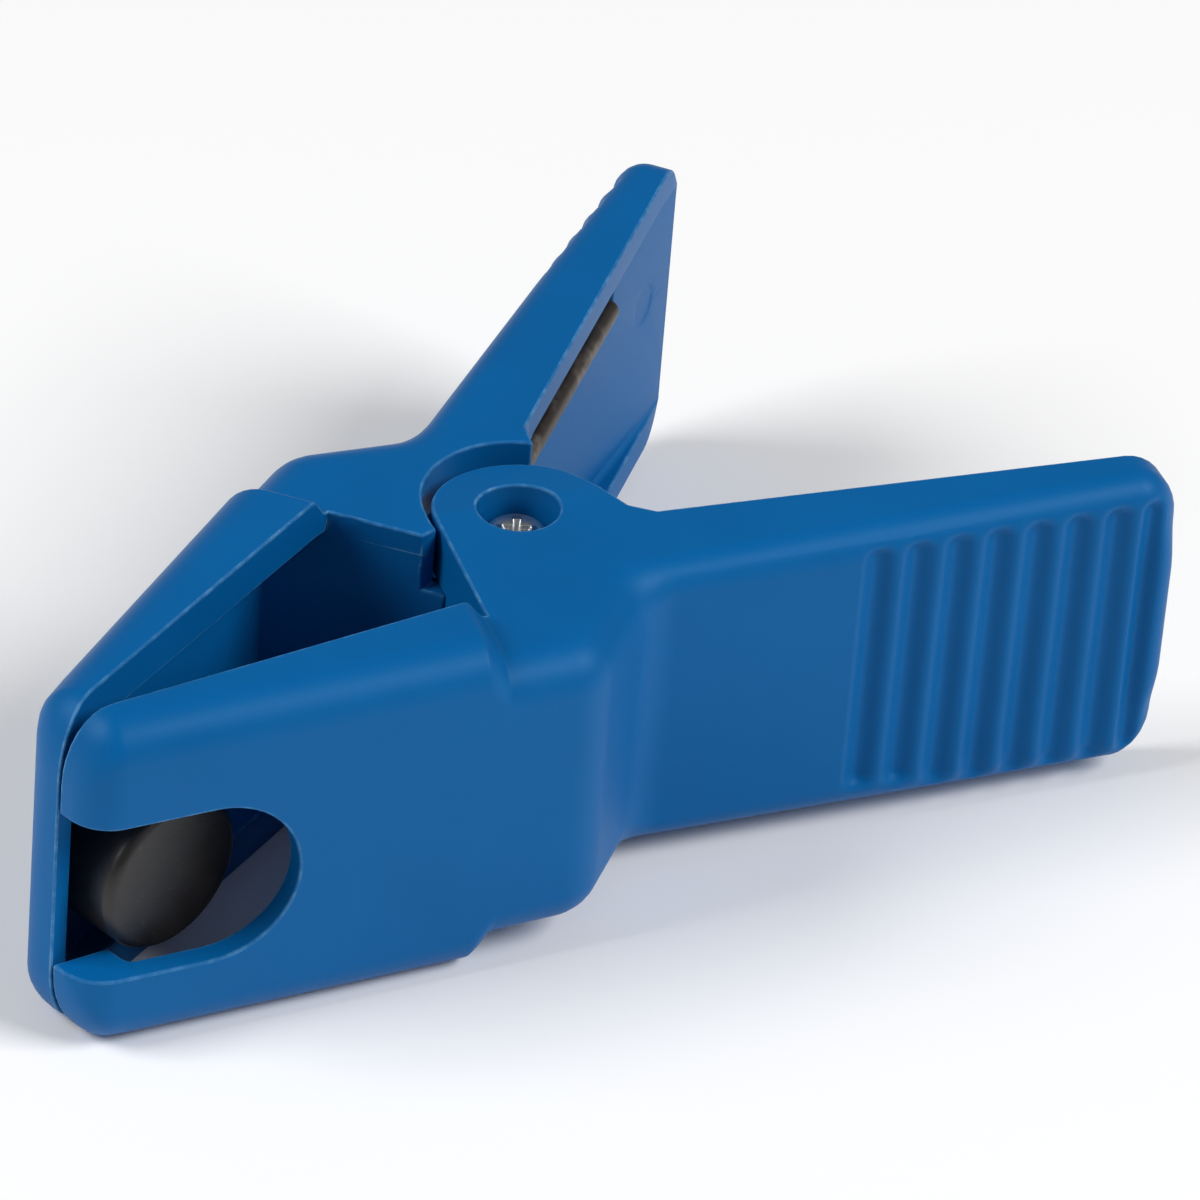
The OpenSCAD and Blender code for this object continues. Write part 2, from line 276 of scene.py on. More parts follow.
def spring_steel():
    """Dark drawn wire: oil-brown skin with fine lines along it and bare rubbed patches."""
    f = Finish("spring_steel")
    patch = f.grain(2.4, 4)
    drawn = f.grain(0.16, 2, 0.5, stretch=(0.2, 1, 1))
    rubbed = f.fade(patch, 0.5, 0.72)
    colour = f.blend(patch, rgb(56, 50, 47), rgb(100, 92, 86))
    colour = f.blend(rubbed * 0.5, colour, rgb(150, 142, 136))
    return f.set(Base_Color=colour, Metallic=0.85, Roughness=0.34 + 0.18 * patch,
                 Normal=f.bump(drawn, 0.012, 0.6))


def zinc_steel():
    """Bright zinc plate with soft clouding, a fine skin, and a painted highlight that lightens the
    edges.
    """
    f = Finish("zinc_steel")
    cloud = f.grain(1.5, 4)
    skin = f.grain(0.12, 3)
    edge = f.edges(0.12)
    colour = f.blend(cloud, rgb(200, 202, 202), rgb(232, 233, 232))
    # Painted highlight: edges blended towards near-white.
    colour = f.blend(edge * 0.6, colour, rgb(246, 246, 245))
    return f.set(Base_Color=colour, Metallic=1.0, Roughness=0.26 + 0.16 * cloud,
                 Normal=f.bump(skin + cloud, 0.01, 0.5))


BLUE = moulded_blue()
RUBBER = black_rubber()
SPRING_STEEL = spring_steel()
ZINC = zinc_steel()


# ---------------------------------------------------------------- making pieces

def piece(name, bm, finish, body, node):
    """A finished bmesh, in millimetres round the pivot, becomes a piece that stands for a node."""
    bmesh.ops.transform(bm, matrix=TO_FRAME, verts=bm.verts)
    mesh = bpy.data.meshes.new(name)
    bm.to_mesh(mesh)
    bm.free()
    mesh.polygons.foreach_set("use_smooth", [True] * len(mesh.polygons))
    mesh.materials.append(finish)
    made = bpy.data.objects.new(name, mesh)
    bpy.context.scene.collection.objects.link(made)
    if body:
        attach(made, body)
    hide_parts(node)
    return made


def even_shading(made):
    """Flat faces stay flat up to the start of each round."""
    weighted = made.modifiers.new("even_shading", "WEIGHTED_NORMAL")
    weighted.keep_sharp = False
    weighted.weight = 80
    return made


def ease(bm, edges, radius, segments=3, clamp=True):
    """Rounds edges."""
    return bmesh.ops.bevel(bm, geom=edges, offset=radius, offset_type="OFFSET", affect="EDGES",
                           segments=segments, profile=0.5, material=-1, clamp_overlap=clamp)


def sharp(bm, degrees):
    """Edges that turn by more than this angle."""
    return [e for e in bm.edges if e.is_manifold and e.calc_face_angle(0) > math.radians(degrees)]


def folds(bm):
    """Places where the surface turns back on itself, or isn't closed."""
    fold = math.radians(158)
    return [place for e in bm.edges
            if not e.is_manifold or e.calc_face_angle(0) > fold
            for place in (e.verts[0].co.copy(), e.verts[1].co.copy())]


def clear_of(edge, places, reach):
    """Whether an edge passes no nearer than reach to any of the places."""
    start = edge.verts[0].co
    run = edge.verts[1].co - start
    for place in places:
        t = min(max((place - start).dot(run) / max(run.length_squared, 1e-12), 0.0), 1.0)
        if (start + run * t - place).length < reach:
            return False
    return True


def ease_where_clear(bm, degrees, radius):
    """Rounds the sharp edges, in short lengths, and leaves those crisp where rounding would fold
    the surface. Each trial leaves out the lengths that folded in the trials before it."""
    length, trials, reach = 1.5, 18, 1.2 * radius
    for e in [e for e in sharp(bm, degrees) if e.calc_length() > 2 * length]:
        bmesh.ops.subdivide_edges(bm, edges=[e], cuts=int(e.calc_length() / length))
    crowded = []
    for _ in range(trials):
        trial = bm.copy()
        edges = [e for e in sharp(trial, degrees) if clear_of(e, crowded, reach)]
        ease(trial, edges, radius, 2, clamp=False)
        bmesh.ops.remove_doubles(trial, verts=trial.verts, dist=0.004)
        bmesh.ops.triangulate(trial, faces=[f for f in trial.faces if len(f.verts) > 4])
        found = folds(trial)
        if not found:
            bm.free()
            return trial
        crowded += found
        trial.free()
    return bm


def turned(profile, steps, axis="Z"):
    """Turns a profile of (radius, height) points round an axis into a closed solid."""
    bm = bmesh.new()
    line = [bm.verts.new((r, 0, z)) for r, z in profile]
    edges = [bm.edges.new(pair) for pair in zip(line, line[1:])]
    bmesh.ops.spin(bm, geom=line + edges, cent=(0, 0, 0), axis=(0, 0, 1), dvec=(0, 0, 0),
                   angle=2 * math.pi, steps=steps, use_merge=True)
    bmesh.ops.remove_doubles(bm, verts=bm.verts, dist=1e-4)
    bmesh.ops.recalc_face_normals(bm, faces=bm.faces)
    if axis == "-Y":
        bmesh.ops.rotate(bm, verts=bm.verts, cent=(0, 0, 0), matrix=Matrix.Rotation(math.pi / 2, 3, "X"))
    return bm


def cut(bm, tool, operation="DIFFERENCE"):
    """One bmesh cut by another."""
    pair = []
    for part in (bm, tool):
        mesh = bpy.data.meshes.new("blank")
        part.to_mesh(mesh)
        part.free()
        pair.append(bpy.data.objects.new("blank", mesh))
        bpy.context.scene.collection.objects.link(pair[-1])
    blank, cutter = pair
    knife = blank.modifiers.new("knife", "BOOLEAN")
    knife.operation, knife.solver, knife.object = operation, "MANIFOLD", cutter
    bpy.context.view_layer.update()
    result = bmesh.new()
    result.from_object(blank, bpy.context.evaluated_depsgraph_get())
    for part in pair:
        mesh = part.data
        bpy.data.objects.remove(part)
        bpy.data.meshes.remove(mesh)
    bmesh.ops.remove_doubles(result, verts=result.verts, dist=1e-4)
    return result


# ---------------------------------------------------------------- levers
# A lever is made in the place of the rear one: outer face towards +y, seat above, boss below.

def along(angle):
    return Vector((math.cos(angle), math.sin(angle)))


def outward(angle):
    """Square to a line, towards the outside of the lever."""
    return Vector((-math.sin(angle), math.cos(angle)))


def meet(p, a, q, b):
    """Meeting point of a line through p at angle a with a line through q at angle b."""
    t = ((q[0] - p[0]) * math.sin(b) - (q[1] - p[1]) * math.cos(b)) / math.sin(b - a)
    return Vector(p[:2]) + t * along(a)


def smooth(t):
    t = min(max(t, 0.0), 1.0)
    return t * t * (3 - 2 * t)


def body_half(x):
    """Half-height of the pivot block and handle, which grow a little towards the end."""
    return BODY_HALF + BODY_TAPER * x


NOSE = Vector((-JAW_REACH, NOSE_DEPTH))
RIM_ZERO = Vector((-JAW_REACH, NOSE_GAP))
THROAT_FOOT = Vector((-9.0, 0.0))
THROAT_SLOPE = math.pi / 2 + math.radians(26.57)
THROAT_CORNER = meet(RIM_ZERO, JAW_RIM_SLOPE, THROAT_FOOT, THROAT_SLOPE)
JAW_END = meet(NOSE, JAW_SLOPE, THROAT_FOOT, THROAT_SLOPE)
HANDLE_RIM = Vector((0, 3.7))
RIM_END = HANDLE_RIM + Vector((53.95, 53.95 * math.tan(RIM_SLOPE)))
FACE_END = meet(RIM_END, HANDLE_SLOPE + math.pi / 2, (0, HANDLE_FACE_Y), HANDLE_SLOPE)
PAST_STEP = -outward(THROAT_SLOPE)


class Station:
    """One section of the outside: where it stands on the face, where its round meets the flat top,
    where the flat top ends, the height of its round, how deep a grip groove is there, and where
    the face stands at mid-height if that is further out."""

    def __init__(self, face, shoulder, inner, rise, on_jaw=False, sunk=0.0, groove_top=14.0,
                 square=None):
        self.face, self.shoulder, self.inner, self.rise = face, shoulder, inner, rise
        self.on_jaw, self.sunk, self.groove_top = on_jaw, sunk, groove_top
        self.square = square or face

    def half(self, p):
        """Half-height at a point in plan. The jaw's flat eases down to the block in a soft step."""
        if not self.on_jaw:
            return body_half(p.x)
        past = smooth((p - THROAT_FOOT).dot(PAST_STEP) / STEP_RUN + 1)
        return JAW_HALF - past * (JAW_HALF - body_half(p.x))

    def point(self, k):
        """A corner of the closed section. k counts from the inner edge at the top, over the
        round, down the face and back below, and ends where it began."""
        upper = k <= HALF_SECTION
        side = 1 if upper else -1
        k = k if upper else 2 * HALF_SECTION - k
        top = self.half(self.shoulder)
        if k == 0:
            return Vector((self.inner.x, self.inner.y, side * self.half(self.inner)))
        out = self.face - self.shoulder
        if k <= ROUND_STEPS:
            a = (k - 1) / (ROUND_STEPS - 1) * math.pi / 2
            p, z = self.shoulder + out * math.sin(a), top - self.rise * (1 - math.cos(a))
        else:
            a = (k - ROUND_STEPS) / (HALF_SECTION - ROUND_STEPS) * math.pi / 2
            z = (top - self.rise) * math.cos(a)
            p = self.face.lerp(self.square, smooth((top - self.rise - z) / SQUARE_OVER))
        reach = self.groove_top if upper else GROOVE_BOTTOM
        if self.sunk:
            p = p - outward(HANDLE_SLOPE) * self.sunk * smooth((reach + 0.4 - z) / 1.5)
        return Vector((p.x, p.y, side * z))


def arc(centre, radius, start, end, count):
    """(point, normal) round an arc in plan, between the angles of two normals."""
    angles = [start + (end - start) * i / count for i in range(count + 1)]
    return [(centre + radius * along(a), along(a)) for a in angles]


def nose_stations():
    """Front of the nose and its round upright edge."""
    r = NOSE_ROUND
    pole = NOSE + Vector((r, -r * math.tan((math.pi / 2 - JAW_SLOPE) / 2)))
    rim = along(JAW_RIM_SLOPE)
    start = RIM_ZERO + rim * (r / math.cos(JAW_RIM_SLOPE))
    inner = start + rim * 0.5
    made = []
    for i in range(3):
        face = RIM_ZERO.lerp(Vector((-JAW_REACH, pole.y)), i / 3)
        made.append(Station(face, start.lerp(pole, i / 3), inner, NOSE_RISE, True))
    for i, (face, _) in enumerate(arc(pole, r, math.pi, math.pi / 2 + JAW_SLOPE, 16)):
        rise = NOSE_RISE + (JAW_ROUND - NOSE_RISE) * smooth(i / 16)
        made.append(Station(face, pole, inner, rise, True))
    return made, pole + outward(JAW_SLOPE) * r


def jaw_stations(start):
    """Face of the jaw, back to its step. Each section lies along the step."""
    skew = along(THROAT_SLOPE)
    inset = skew * (-JAW_ROUND / skew.dot(outward(JAW_SLOPE)))
    reach = (JAW_END - start).length
    lead = STEP_RUN / along(JAW_SLOPE).dot(PAST_STEP)
    runs = [2.5 + (reach - lead - 2.5) * i / 6 for i in range(6)]
    runs += [reach - lead * (1 - i / 12) for i in range(13)]
    made = []
    for run in runs:
        face = start + along(JAW_SLOPE) * run
        inner = meet(face, THROAT_SLOPE, RIM_ZERO, JAW_RIM_SLOPE)
        made.append(Station(face, face + inset, inner, JAW_ROUND, True))
    return made


def block_stations():
    """Pivot block and ramp. The inner edge of the flat goes from the throat round the boss."""
    crest_run = CREST_R * math.tan((JAW_SLOPE - RAMP_SLOPE) / 2)
    foot_run = FOOT_R * math.tan((HANDLE_SLOPE - RAMP_SLOPE) / 2)
    crest, foot = Vector(RAMP_TOP), Vector(RAMP_FOOT)
    jaw_out, ramp_out = outward(JAW_SLOPE), outward(RAMP_SLOPE)
    skew = along(THROAT_SLOPE)
    slanted = skew * (JAW_ROUND / skew.dot(jaw_out))
    crest_start = crest - along(JAW_SLOPE) * crest_run
    path = []
    for i in range(5):
        t = i / 5
        face = JAW_END.lerp(crest_start, t)
        rise = JAW_ROUND + (BLOCK_ROUND - JAW_ROUND) * t
        path.append((face, face - slanted.lerp(jaw_out * BLOCK_ROUND, t), rise))
    for face, n in arc(crest_start - jaw_out * CREST_R, CREST_R, math.pi / 2 + JAW_SLOPE,
                       math.pi / 2 + RAMP_SLOPE, 12):
        path.append((face, face - n * BLOCK_ROUND, BLOCK_ROUND))
    centre = foot - along(RAMP_SLOPE) * foot_run + ramp_out * FOOT_R
    for i, (face, n) in enumerate(arc(centre, FOOT_R, RAMP_SLOPE - math.pi / 2,
                                      HANDLE_SLOPE - math.pi / 2, 16)):
        r = BLOCK_ROUND + (HANDLE_ROUND - BLOCK_ROUND) * smooth(i / 16)
        path.append((face, face + n * r, r))
    tangent = THROAT_SLOPE + math.pi / 2
    inner = [THROAT_CORNER]
    inner += [BOSS_R * along(tangent + (2 * math.pi - tangent) * i / 28) for i in range(29)]
    inner += [Vector(BOSS_SIDE), meet(BOSS_SIDE, math.radians(60), HANDLE_RIM, RIM_SLOPE)]
    made = []
    for i, (face, shoulder, rise) in enumerate(path):
        key = round(i / (len(path) - 1) * (len(inner) - 1))
        made.append(Station(face, shoulder, inner[key], rise))
    return made, foot + along(HANDLE_SLOPE) * foot_run


def handle_stations(start):
    """Handle with its grip grooves, and its rounded end."""
    forward, out = along(HANDLE_SLOPE), outward(HANDLE_SLOPE)
    pole = FACE_END - forward * END_INSET - out * HANDLE_ROUND
    length = (pole - start).dot(forward)
    zero = Vector((GROOVE_START, HANDLE_FACE_Y + GROOVE_START * math.tan(HANDLE_SLOPE)))
    first = (zero - start).dot(forward) - GROOVE_PITCH / 2

    def rim_under(p, back=0.0):
        return meet(p, HANDLE_SLOPE + math.pi / 2, HANDLE_RIM, RIM_SLOPE) - along(RIM_SLOPE) * back

    def sunk(run):
        t = (run - first) / GROOVE_PITCH
        t += max(0.0, t - GROOVES + 1) * LAST_GROOVE
        if not 0 < t < GROOVES:
            return 0.0, 14.0
        return GROOVE_DEPTH * (0.5 - 0.5 * math.cos(2 * math.pi * t)), GROOVE_TOPS[int(t)]

    def square_end(t):
        """Way round the end at mid-height, where its upright edge is tight."""
        flat, bend = END_INSET - END_EDGE_R, END_EDGE_R * math.pi / 2
        gone = t * (flat + bend + HANDLE_ROUND - END_EDGE_R)
        a = min(max((gone - flat) / END_EDGE_R, 0.0), math.pi / 2)
        ahead = min(gone, flat) + END_EDGE_R * math.sin(a)
        down = END_EDGE_R * (1 - math.cos(a)) + max(0.0, gone - flat - bend)
        return pole + out * (HANDLE_ROUND - down) + forward * ahead

    runs = [first * i / 3 for i in range(1, 3)]
    runs += [first + GROOVE_PITCH * i / 12 for i in range(12 * GROOVES + 1)]
    made = []
    for run in [r for r in runs if r < length - 0.2] + [length]:
        face = start + forward * run
        made.append(Station(face, face - out * HANDLE_ROUND, rim_under(face, 2 * run / length),
                            HANDLE_ROUND, False, *sunk(run)))
    for i in range(1, END_STEPS + 1):
        t = i / END_STEPS
        a = t * math.pi / 2
        face = pole + out * (HANDLE_ROUND * math.cos(a)) + forward * (END_INSET * math.sin(a))
        rise = HANDLE_ROUND + (END_RISE - HANDLE_ROUND) * smooth(t)
        square = square_end(t)
        made.append(Station(face, pole, rim_under(pole, 2), rise, False,
                            *sunk((square - start).dot(forward)), square))
    last = RIM_END - along(RIM_SLOPE) * (END_INSET / math.cos(RIM_SLOPE - HANDLE_SLOPE))
    corner = made[-1].face
    for i in range(1, 6):
        t = i / 5
        made.append(Station(corner.lerp(RIM_END, t), pole.lerp(last, t), rim_under(pole, 2),
                            END_RISE))
    return made


def outside():
    """The whole lever as one closed solid, before it is hollowed."""
    made, jaw_start = nose_stations()
    made += jaw_stations(jaw_start)
    block, handle_start = block_stations()
    made += block + handle_stations(handle_start)
    bm = bmesh.new()
    rows, around = len(made) - 1, 2 * HALF_SECTION + 1
    bmesh.ops.create_grid(bm, x_segments=rows, y_segments=around, size=1)
    for v in bm.verts:
        i, k = round((v.co.x + 1) / 2 * rows), round((v.co.y + 1) / 2 * around)
        v.co = made[i].point(k % around)
    bmesh.ops.remove_doubles(bm, verts=bm.verts, dist=0.004)
    bmesh.ops.holes_fill(bm, edges=[e for e in bm.edges if e.is_boundary], sides=0)
    bmesh.ops.recalc_face_normals(bm, faces=bm.faces)
    return bm


def prism(points, low, high, upright_r=0.0, edge_r=0.0):
    """A plan drawn upwards, with rounded upright corners and rounded top and bottom edges."""
    bm = bmesh.new()
    base = bm.faces.new([bm.verts.new((p[0], p[1], low)) for p in points])
    raised = bmesh.ops.extrude_face_region(bm, geom=[base])["geom"]
    bmesh.ops.translate(bm, verts=[g for g in raised if isinstance(g, bmesh.types.BMVert)],
                        vec=(0, 0, high - low))
    bmesh.ops.recalc_face_normals(bm, faces=bm.faces)
    if upright_r:
        upright = [e for e in bm.edges if abs(e.verts[0].co.z - e.verts[1].co.z) > 1e-4]
        ease(bm, upright, upright_r, 6)
    if edge_r:
        level = [e for e in sharp(bm, 60) if abs(e.verts[0].co.z - e.verts[1].co.z) < 1e-4]
        ease(bm, level, edge_r, 4)
    return bm


def drum(radius, low, high):
    """A cylinder round the pivot axis."""
    bm = bmesh.new()
    bmesh.ops.create_cone(bm, cap_ends=True, segments=96, radius1=radius, radius2=radius,
                          depth=high - low)
    bmesh.ops.translate(bm, verts=bm.verts, vec=(0, 0, (high + low) / 2))
    return bm


def seat():
    """Room in the top plate that the other lever's boss turns in, wider towards the handle. It
    reaches a little past the rooms below, so that no cutter ends level with another."""
    start, swap, wide_swap, end = (math.radians(a) for a in (165.35, 147.3, 154.6, -11.4))
    plan = [(-14, -1), (-14, 2.2)]
    plan += [SEAT_R * along(start + (swap - start) * i / 6) for i in range(6)]
    plan += [Vector(SEAT_SHIFT) + SEAT_WIDE_R * along(wide_swap + (end - wide_swap) * i / 48)
             for i in range(49)]
    return prism(plan[::-1], BOSS_INNER - SEAT_OVERLAP, THROUGH)


def jaw_room(front_wall):
    """Room inside a jaw."""
    start = front_wall - JAW_REACH
    wall = NOSE - outward(JAW_SLOPE) * JAW_WALL
    throat_out = meet((0, -8), 0, THROAT_FOOT, THROAT_SLOPE)
    plan = [(start, -8), throat_out, meet(wall, JAW_SLOPE, THROAT_FOOT, THROAT_SLOPE),
            meet(wall, JAW_SLOPE, (start, 0), math.pi / 2)]
    return prism(plan, -JAW_ROOM, JAW_ROOM, 0.8, 0.8)


def body_room(half, from_x=None):
    """Room inside the pivot block and handle, up to the handle's panel. In the block it rises past
    the seat's floor, so that its rounded edge doesn't leave a feather there."""
    back = THROAT_FOOT + Vector((THROAT_WALL / math.sin(THROAT_SLOPE), 0))
    side = Vector(RAMP_TOP) - outward(JAW_SLOPE) * BLOCK_WALL
    ramp = Vector(RAMP_TOP) - outward(RAMP_SLOPE) * BLOCK_WALL
    panel = RIM_END + along(PANEL_SLOPE)
    turn = meet(ramp, RAMP_SLOPE, RIM_END, PANEL_SLOPE)
    if from_x is None:
        plan = [meet((0, -1), 0, back, THROAT_SLOPE), meet(back, THROAT_SLOPE, side, JAW_SLOPE),
                meet(side, JAW_SLOPE, ramp, RAMP_SLOPE), turn, panel, (panel.x + 1, -1)]
    else:
        plan = [(from_x, -1), meet((from_x, 0), math.pi / 2, RIM_END, PANEL_SLOPE), panel,
                (panel.x + 1, -1)]
    return prism(plan[::-1], -half, half if from_x else half + 1, 0.0, ROOM_EDGE_R)


def leg_bed():
    """Bed for the end of a spring leg, sunk in the panel of the handle."""
    start, end, front = 20, 48, -2.4
    bm = prism([(start, front), (end, front), (end, BED_HALF), (start, BED_HALF)],
               LEG_Z - BED_HALF, LEG_Z + BED_HALF)
    root = COIL_R * outward(RIM_SLOPE)
    bmesh.ops.rotate(bm, verts=bm.verts, cent=(0, 0, 0), matrix=Matrix.Rotation(RIM_SLOPE, 3, "Z"))
    bmesh.ops.translate(bm, verts=bm.verts, vec=(root.x, root.y, 0))
    return bm


def boss_draft():
    """Wedge off the end of the boss, beyond its parting line. It starts at the surface's highest
    place along the line, so that it leaves no step."""
    start, end = Vector(PARTING_START), Vector(PARTING_END)
    line = end - start
    surface = max(body_half(start.x), body_half(end.x))
    long, wide, high = 60, 30, 10
    bm = bmesh.new()
    bmesh.ops.create_cube(bm, size=1)
    bmesh.ops.scale(bm, verts=bm.verts, vec=(long, wide, high))
    bmesh.ops.translate(bm, verts=bm.verts, vec=(0, -wide / 2, -high / 2))
    bmesh.ops.rotate(bm, verts=bm.verts, cent=(0, 0, 0), matrix=Matrix.Rotation(-DRAFT, 3, "X"))
    bmesh.ops.rotate(bm, verts=bm.verts, cent=(0, 0, 0),
                     matrix=Matrix.Rotation(math.atan2(line.y, line.x), 3, "Z"))
    bmesh.ops.translate(bm, verts=bm.verts, vec=(start.x, start.y, -surface))
    return bm


def ejector_mark():
    """Shallow dished print of an ejector pin in the panel of the handle."""
    bm = bmesh.new()
    bmesh.ops.create_cone(bm, cap_ends=True, segments=48, radius1=MARK_R + 1.2,
                          radius2=MARK_R - 0.4, depth=4 * MARK_DEPTH)
    bmesh.ops.translate(bm, verts=bm.verts, vec=(0, 0, -MARK_DEPTH))
    normal = Vector((-math.sin(PANEL_SLOPE), math.cos(PANEL_SLOPE), 0))
    turn = normal.to_track_quat("Z", "Y").to_matrix()
    bmesh.ops.rotate(bm, verts=bm.verts, cent=(0, 0, 0), matrix=turn)
    x, z = MARK_PLACE
    y = RIM_END.y - (RIM_END.x - x) * math.tan(PANEL_SLOPE)
    bmesh.ops.translate(bm, verts=bm.verts, vec=(x, y, z))
    return bm


def window():
    """Slot through the outer wall and the front of the nose, with a round end."""
    front, depth = WINDOW_REACH - 30, 12
    outline = [(front, -WINDOW_R)]
    outline += [(WINDOW_REACH + WINDOW_R * math.sin(a), -WINDOW_R * math.cos(a))
                for a in (math.pi * i / 40 for i in range(41))]
    outline += [(front, WINDOW_R)]
    bm = prism(outline, -depth, depth)
    bmesh.ops.rotate(bm, verts=bm.verts, cent=(0, 0, 0), matrix=Matrix.Rotation(math.pi / 2, 3, "X"))
    bmesh.ops.rotate(bm, verts=bm.verts, cent=(0, 0, 0), matrix=Matrix.Rotation(JAW_SLOPE, 3, "Z"))
    bmesh.ops.translate(bm, verts=bm.verts, vec=(-JAW_REACH, NOSE_DEPTH, -PAD_Z))
    return bm


def lever(name, node, body, turned_over, front_wall, openings=()):
    """One lever, hollowed, cut for the other lever's boss, bored, and eased on its edges."""
    bm = outside()
    under = prism([(-12, -12), (9, -12), (9, PLANE_GAP), (-12, PLANE_GAP)], -BOSS_INNER, THROUGH)
    rooms = [jaw_room(front_wall), body_room(BOSS_INNER), body_room(BODY_ROOM, HANDLE_ROOM_START),
             drum(COIL_R + BED_HALF, -BOSS_INNER, BOSS_INNER)]
    holes = [drum(COUNTERBORE_R, -THROUGH, -HEAD_SEAT), drum(BORE_R, -THROUGH, 0)]
    for tool in (under, seat(), *rooms, *holes, leg_bed(), boss_draft(), ejector_mark(), *openings):
        bm = cut(bm, tool)
    bmesh.ops.dissolve_limit(bm, angle_limit=0.004, verts=bm.verts, edges=bm.edges)
    bmesh.ops.dissolve_degenerate(bm, dist=0.003, edges=bm.edges)
    bmesh.ops.remove_doubles(bm, verts=bm.verts, dist=0.045)
    bm = ease_where_clear(bm, SHARP_DEGREES, EDGE_R)
    if turned_over:
        bmesh.ops.transform(bm, matrix=HALF_TURN, verts=bm.verts)
    return even_shading(piece(name, bm, BLUE, body, node))


# ---------------------------------------------------------------- small pieces

def button_pad():
    """A round rubber button, domed a little, with a soft edge, cut off at the jaw's outer wall."""
    edge, dome = PAD_EDGE, PAD_DOME
    flat = PAD_R - edge - 0.4
    profile = [(flat * math.sin(a), PAD_FACE + dome * (1 - math.cos(a)))
               for a in (math.radians(15 * i) for i in range(7))]
    profile += [(PAD_R - edge + edge * math.sin(a), PAD_FACE + dome + edge * (1 - math.cos(a)))
                for a in (math.radians(9 * i) for i in range(1, 11))]
    profile += [(PAD_R, 6), (PAD_R, PAD_BACK), (0, PAD_BACK)]
    bm = turned(profile, 72, axis="-Y")
    bmesh.ops.rotate(bm, verts=bm.verts, cent=(0, 0, 0), matrix=Matrix.Rotation(math.pi, 3, "Z"))
    bmesh.ops.translate(bm, verts=bm.verts, vec=(PAD_X + PAD_SHIFT, 0, PAD_Z - PAD_DROP))
    sunk = 2.1
    wall = NOSE_DEPTH + math.tan(JAW_SLOPE) * (PAD_X + JAW_REACH) - sunk / math.cos(JAW_SLOPE)
    trimmed = bmesh.ops.bisect_plane(
        bm, geom=bm.verts[:] + bm.edges[:] + bm.faces[:], plane_co=(PAD_X, wall, 0),
        plane_no=(-math.sin(JAW_SLOPE), math.cos(JAW_SLOPE), 0), clear_outer=True)
    rim = [g for g in trimmed["geom_cut"] if isinstance(g, bmesh.types.BMEdge)]
    bmesh.ops.edgeloop_fill(bm, edges=rim)
    bmesh.ops.recalc_face_normals(bm, faces=bm.faces)
    return even_shading(piece("jaw_button", bm, RUBBER, "rear", "jaw_pad"))


def spring():
    """Wire wound in one piece: a leg in each handle, and a close coil round the sleeve."""
    bm = bmesh.new()
    ring = bmesh.ops.create_circle(bm, segments=20, radius=WIRE_R)["verts"]
    start = -math.pi / 2 - RIM_SLOPE
    root = Vector((math.cos(start), math.sin(start), 0)) * COIL_R
    ahead = Vector((math.sin(start), -math.cos(start), 0))
    upright = ahead.to_track_quat("Z", "Y").to_matrix()
    bmesh.ops.rotate(bm, verts=ring, cent=(0, 0, 0), matrix=upright)
    bmesh.ops.translate(bm, verts=ring, vec=root - ahead * LEG_LENGTH + Vector((0, 0, -LEG_Z)))

    def draw(loop, vec, pieces):
        for _ in range(pieces):
            made = bmesh.ops.extrude_edge_only(bm, edges=loop)["geom"]
            loop = [g for g in made if isinstance(g, bmesh.types.BMEdge)
                    and all(v in made for v in g.verts)]
            verts = list({v for e in loop for v in e.verts})
            bmesh.ops.translate(bm, verts=verts, vec=vec / pieces)
        return loop

    loop = draw(bm.edges[:], ahead * LEG_LENGTH, 4)
    verts = list({v for e in loop for v in e.verts})
    steps = round(COIL_TURNS * 48)
    made = bmesh.ops.spin(bm, geom=verts + loop, cent=(0, 0, 0), axis=(0, 0, 1),
                          dvec=(0, 0, 2 * LEG_Z / steps), angle=-COIL_TURNS * 2 * math.pi,
                          steps=steps)["geom_last"]
    loop = [g for g in made if isinstance(g, bmesh.types.BMEdge)]
    out = Matrix.Rotation(-COIL_TURNS * 2 * math.pi, 3, "Z") @ ahead
    draw(loop, out * LEG_LENGTH, 4)
    ends = [e for e in bm.edges if e.is_boundary]
    bmesh.ops.edgeloop_fill(bm, edges=ends)
    ease(bm, ends, 0.12, 2)
    bmesh.ops.recalc_face_normals(bm, faces=bm.faces)
    made = even_shading(piece("wound_spring", bm, SPRING_STEEL, None, "torsion_spring"))
    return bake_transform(made)


def sleeve():
    """Steel tube inside the coil."""
    half, bore, rim, radius, bevel = 9.55, 1.6, 2.8, 3.0, 0.2
    bm = turned([(bore, -half), (rim, -half), (radius, bevel - half), (radius, half - bevel),
                 (rim, half), (bore, half), (bore, -half)], 48)
    return even_shading(piece("sleeve", bm, ZINC, "front", "spring_sleeve"))


